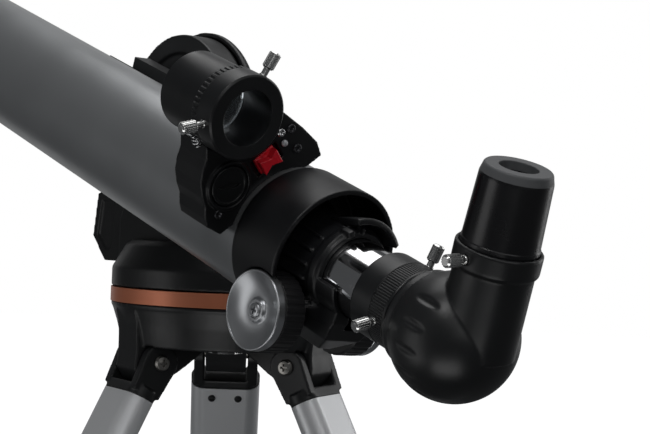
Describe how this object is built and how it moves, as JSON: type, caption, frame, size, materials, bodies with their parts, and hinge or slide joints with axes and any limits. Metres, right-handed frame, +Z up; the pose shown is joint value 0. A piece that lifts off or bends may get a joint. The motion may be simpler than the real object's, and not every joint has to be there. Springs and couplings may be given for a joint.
{
  "type": "refractor telescope",
  "caption": "Refractor telescope on a motorised single-arm alt-azimuth mount and folding tripod, with rack focuser, star diagonal and finder.",
  "frame": {"origin": "on the floor, under the azimuth axis", "axes": "+Z up, +Y the way the tube points, +X from the tube towards the mount arm; rest pose has the tube raised 19.8 degrees"},
  "size_m": [0.6979, 0.7902, 1.0221],
  "materials": {
    "silver_paint": "satin",
    "black_plastic": "fine texture",
    "black_paint": "satin",
    "glass": "coated",
    "mirror": "polished",
    "steel": "satin",
    "black_grip": "satin",
    "silver_cap": "satin",
    "chrome": "polished",
    "red_plastic": "gloss",
    "black_metal": "satin",
    "copper_ring": "satin metallic",
    "leg_aluminium": "satin",
    "foot_rubber": "matte"
  },
  "bodies": {
    "tripod_head": {"tripod_hub": "black_plastic", "leg_pivot_bolts": "steel", "azimuth_shaft": "steel", "trim_ring": "copper_ring"},
    "mount": {"base_shell": "black_plastic", "arm_inner_shell": "black_plastic", "arm_outer_shell": "black_plastic", "drive_gearboxes": "black_plastic"},
    "tube": {"main_tube": "silver_paint", "objective_cell": "black_plastic", "objective_lens": "glass", "dew_shield": "black_plastic", "rear_cell": "black_plastic", "finder_base": "black_plastic", "finder_tube": "black_plastic", "finder_lens": "glass", "dovetail_bar": "black_metal", "saddle_clamp": "black_plastic", "altitude_shaft": "steel"},
    "clamp_knob": {"clamp_knob": "black_grip"},
    "focus_pinion": {"pinion_shaft": "steel", "focus_knobs": "black_grip", "knob_caps": "silver_cap"},
    "drawtube": {"drawtube": "chrome", "drawtube_collar": "black_plastic"},
    "collar_screw_1": {"collar_thumbscrew_1": "chrome"},
    "collar_screw_2": {"collar_thumbscrew_2": "chrome"},
    "tension_screw": {"tension_screw": "chrome"},
    "diagonal": {"diagonal_body": "black_plastic", "diagonal_mirror": "mirror"},
    "diagonal_screw": {"diagonal_thumbscrew": "chrome"},
    "eyepiece": {"eyepiece_body": "black_paint", "eyepiece_lens": "glass"},
    "finder_screw_1": {"finder_thumbscrew_1": "chrome"},
    "finder_screw_2": {"finder_thumbscrew_2": "chrome"},
    "finder_switch": {"finder_switch": "red_plastic"},
    "battery_cover": {"finder_battery_cover": "black_plastic"},
    "spreader": {"spreader_hub": "black_plastic", "accessory_tray": "black_plastic"},
    "leg_1": {"leg_1_top": "black_plastic", "leg_1_tube": "leg_aluminium", "leg_1_fittings": "black_plastic"},
    "leg_1_lower": {"leg_1_extension": "leg_aluminium", "leg_1_foot": "foot_rubber"},
    "leg_1_lock": {"leg_1_lock_knob": "black_grip"},
    "arm_1": {"spreader_arm_1": "black_plastic"},
    "leg_2": {"leg_2_top": "black_plastic", "leg_2_tube": "leg_aluminium", "leg_2_fittings": "black_plastic"},
    "leg_2_lower": {"leg_2_extension": "leg_aluminium", "leg_2_foot": "foot_rubber"},
    "leg_2_lock": {"leg_2_lock_knob": "black_grip"},
    "arm_2": {"spreader_arm_2": "black_plastic"},
    "leg_3": {"leg_3_top": "black_plastic", "leg_3_tube": "leg_aluminium", "leg_3_fittings": "black_plastic"},
    "leg_3_lower": {"leg_3_extension": "leg_aluminium", "leg_3_foot": "foot_rubber"},
    "leg_3_lock": {"leg_3_lock_knob": "black_grip"},
    "arm_3": {"spreader_arm_3": "black_plastic"}
  },
  "joints": [
    {"name": "azimuth", "type": "hinge", "parent": "tripod_head", "child": "mount", "pos_m": [0, 0, 0.74], "axis": [0, 0, 1], "continuous": true},
    {"name": "altitude", "type": "hinge", "parent": "mount", "child": "tube", "pos_m": [-0.1149, 0, 0.84765], "axis": [1, 0, 0], "range_deg": [-20, 50]},
    {"name": "saddle_clamp_knob", "type": "hinge", "parent": "tube", "child": "clamp_knob", "pos_m": [-0.0624, 0.01186, 0.81472], "axis": [0, -0.3387, 0.9409], "range_deg": [0, 720]},
    {"name": "focus_knob_turn", "type": "hinge", "parent": "tube", "child": "focus_pinion", "pos_m": [-0.11667, -0.21601, 0.73912], "axis": [0.9981, 0.0207, -0.0574], "range_deg": [-125, 610]},
    {"name": "drawtube_travel", "type": "slide", "parent": "tube", "child": "drawtube", "axis": [0, -0.9409, -0.3387], "range_m": [-0.0115, 0.0596]},
    {"name": "drawtube_tension_screw", "type": "hinge", "parent": "tube", "child": "tension_screw", "pos_m": [-0.13207, -0.22949, 0.74527], "axis": [0.9981, 0.0207, -0.0574], "range_deg": [-360, 360]},
    {"name": "collar_thumbscrew_1_turn", "type": "hinge", "parent": "drawtube", "child": "collar_screw_1", "pos_m": [-0.1086, -0.29292, 0.77119], "axis": [0.225, -0.3301, 0.9168], "range_deg": [-360, 720]},
    {"name": "collar_thumbscrew_2_turn", "type": "hinge", "parent": "drawtube", "child": "collar_screw_2", "pos_m": [-0.14195, -0.28122, 0.7387], "axis": [-0.9659, 0.0877, -0.2435], "range_deg": [-360, 720]},
    {"name": "diagonal_rotation", "type": "hinge", "parent": "drawtube", "child": "diagonal", "pos_m": [-0.1149, -0.31237, 0.73519], "axis": [0, 0.9409, 0.3387], "continuous": true},
    {"name": "diagonal_thumbscrew_turn", "type": "hinge", "parent": "diagonal", "child": "diagonal_screw", "pos_m": [-0.14457, -0.33841, 0.76914], "axis": [-0.9962, 0.0295, -0.082], "range_deg": [-360, 720]},
    {"name": "eyepiece_slide", "type": "slide", "parent": "diagonal", "child": "eyepiece", "axis": [-0.0872, -0.3374, 0.9373], "range_m": [0, 0.03]},
    {"name": "finder_thumbscrew_1_turn", "type": "hinge", "parent": "tube", "child": "finder_screw_1", "pos_m": [-0.15942, -0.23262, 0.85612], "axis": [0.342, -0.3183, 0.8841], "range_deg": [-360, 720]},
    {"name": "finder_thumbscrew_2_turn", "type": "hinge", "parent": "tube", "child": "finder_screw_2", "pos_m": [-0.19577, -0.22094, 0.82366], "axis": [-0.9563, 0.099, -0.2751], "range_deg": [-360, 720]},
    {"name": "finder_switch_slide", "type": "slide", "parent": "tube", "child": "finder_switch", "axis": [0.7071, -0.2395, 0.6653], "range_m": [-0.002, 0.002]},
    {"name": "finder_battery_cover_twist", "type": "hinge", "parent": "tube", "child": "battery_cover", "pos_m": [-0.15888, -0.20267, 0.79949], "axis": [0, 0.9409, 0.3387], "range_deg": [-90, 0]},
    {"name": "leg_1_fold", "type": "hinge", "parent": "tripod_head", "child": "leg_1", "pos_m": [0.03497, 0.04412, 0.6951], "axis": [-0.7837, 0.6211, 0], "range_deg": [0, 20]},
    {"name": "leg_2_fold", "type": "hinge", "parent": "tripod_head", "child": "leg_2", "pos_m": [-0.0557, 0.00822, 0.6951], "axis": [-0.1461, -0.9893, 0], "range_deg": [0, 20]},
    {"name": "leg_3_fold", "type": "hinge", "parent": "tripod_head", "child": "leg_3", "pos_m": [0.02073, -0.05235, 0.6951], "axis": [0.9298, 0.3681, 0], "range_deg": [0, 20]},
    {"name": "spreader_slide", "type": "slide", "parent": "tripod_head", "child": "spreader", "axis": [0, 0, 1], "range_m": [-0.0889, 0]},
    {"name": "spreader_arm_1_fold", "type": "hinge", "parent": "spreader", "child": "arm_1", "pos_m": [0.01242, 0.01567, 0.30267], "axis": [-0.7837, 0.6211, 0], "range_deg": [-39.4, 0]},
    {"name": "spreader_arm_2_fold", "type": "hinge", "parent": "spreader", "child": "arm_2", "pos_m": [-0.01979, 0.00292, 0.30267], "axis": [-0.1461, -0.9893, 0], "range_deg": [-39.4, 0]},
    {"name": "spreader_arm_3_fold", "type": "hinge", "parent": "spreader", "child": "arm_3", "pos_m": [0.00736, -0.0186, 0.30267], "axis": [0.9298, 0.3681, 0], "range_deg": [-39.4, 0]},
    {"name": "leg_1_extend", "type": "slide", "parent": "leg_1", "child": "leg_1_lower", "axis": [-0.282, -0.3558, 0.891], "range_m": [-0.1, 0.16]},
    {"name": "leg_1_lock_turn", "type": "hinge", "parent": "leg_1", "child": "leg_1_lock", "pos_m": [0.16589, 0.2093, 0.3255], "axis": [0.5534, 0.6983, 0.454], "range_deg": [-360, 360]},
    {"name": "leg_2_extend", "type": "slide", "parent": "leg_2", "child": "leg_2_lower", "axis": [0.4491, -0.0663, 0.891], "range_m": [-0.1, 0.16]},
    {"name": "leg_2_lock_turn", "type": "hinge", "parent": "leg_2", "child": "leg_2_lock", "pos_m": [-0.2642, 0.03901, 0.3255], "axis": [-0.8814, 0.1302, 0.454], "range_deg": [-360, 360]},
    {"name": "leg_3_extend", "type": "slide", "parent": "leg_3", "child": "leg_3_lower", "axis": [-0.1671, 0.4221, 0.891], "range_m": [-0.1, 0.16]},
    {"name": "leg_3_lock_turn", "type": "hinge", "parent": "leg_3", "child": "leg_3_lock", "pos_m": [0.09831, -0.24831, 0.3255], "axis": [0.328, -0.8284, 0.454], "range_deg": [-360, 360]}
  ],
  "couplings": [
    {"joint": "focus_knob_turn", "follows": "drawtube_travel", "rad_per_m": 178.57},
    {"joint": "leg_2_fold", "follows": "leg_1_fold", "ratio": 1},
    {"joint": "leg_3_fold", "follows": "leg_1_fold", "ratio": 1},
    {"joint": "spreader_slide", "follows": "leg_1_fold", "m_per_rad": -0.25441},
    {"joint": "spreader_arm_1_fold", "follows": "leg_1_fold", "ratio": -1.9673},
    {"joint": "spreader_arm_2_fold", "follows": "leg_1_fold", "ratio": -1.9673},
    {"joint": "spreader_arm_3_fold", "follows": "leg_1_fold", "ratio": -1.9673}
  ]
}
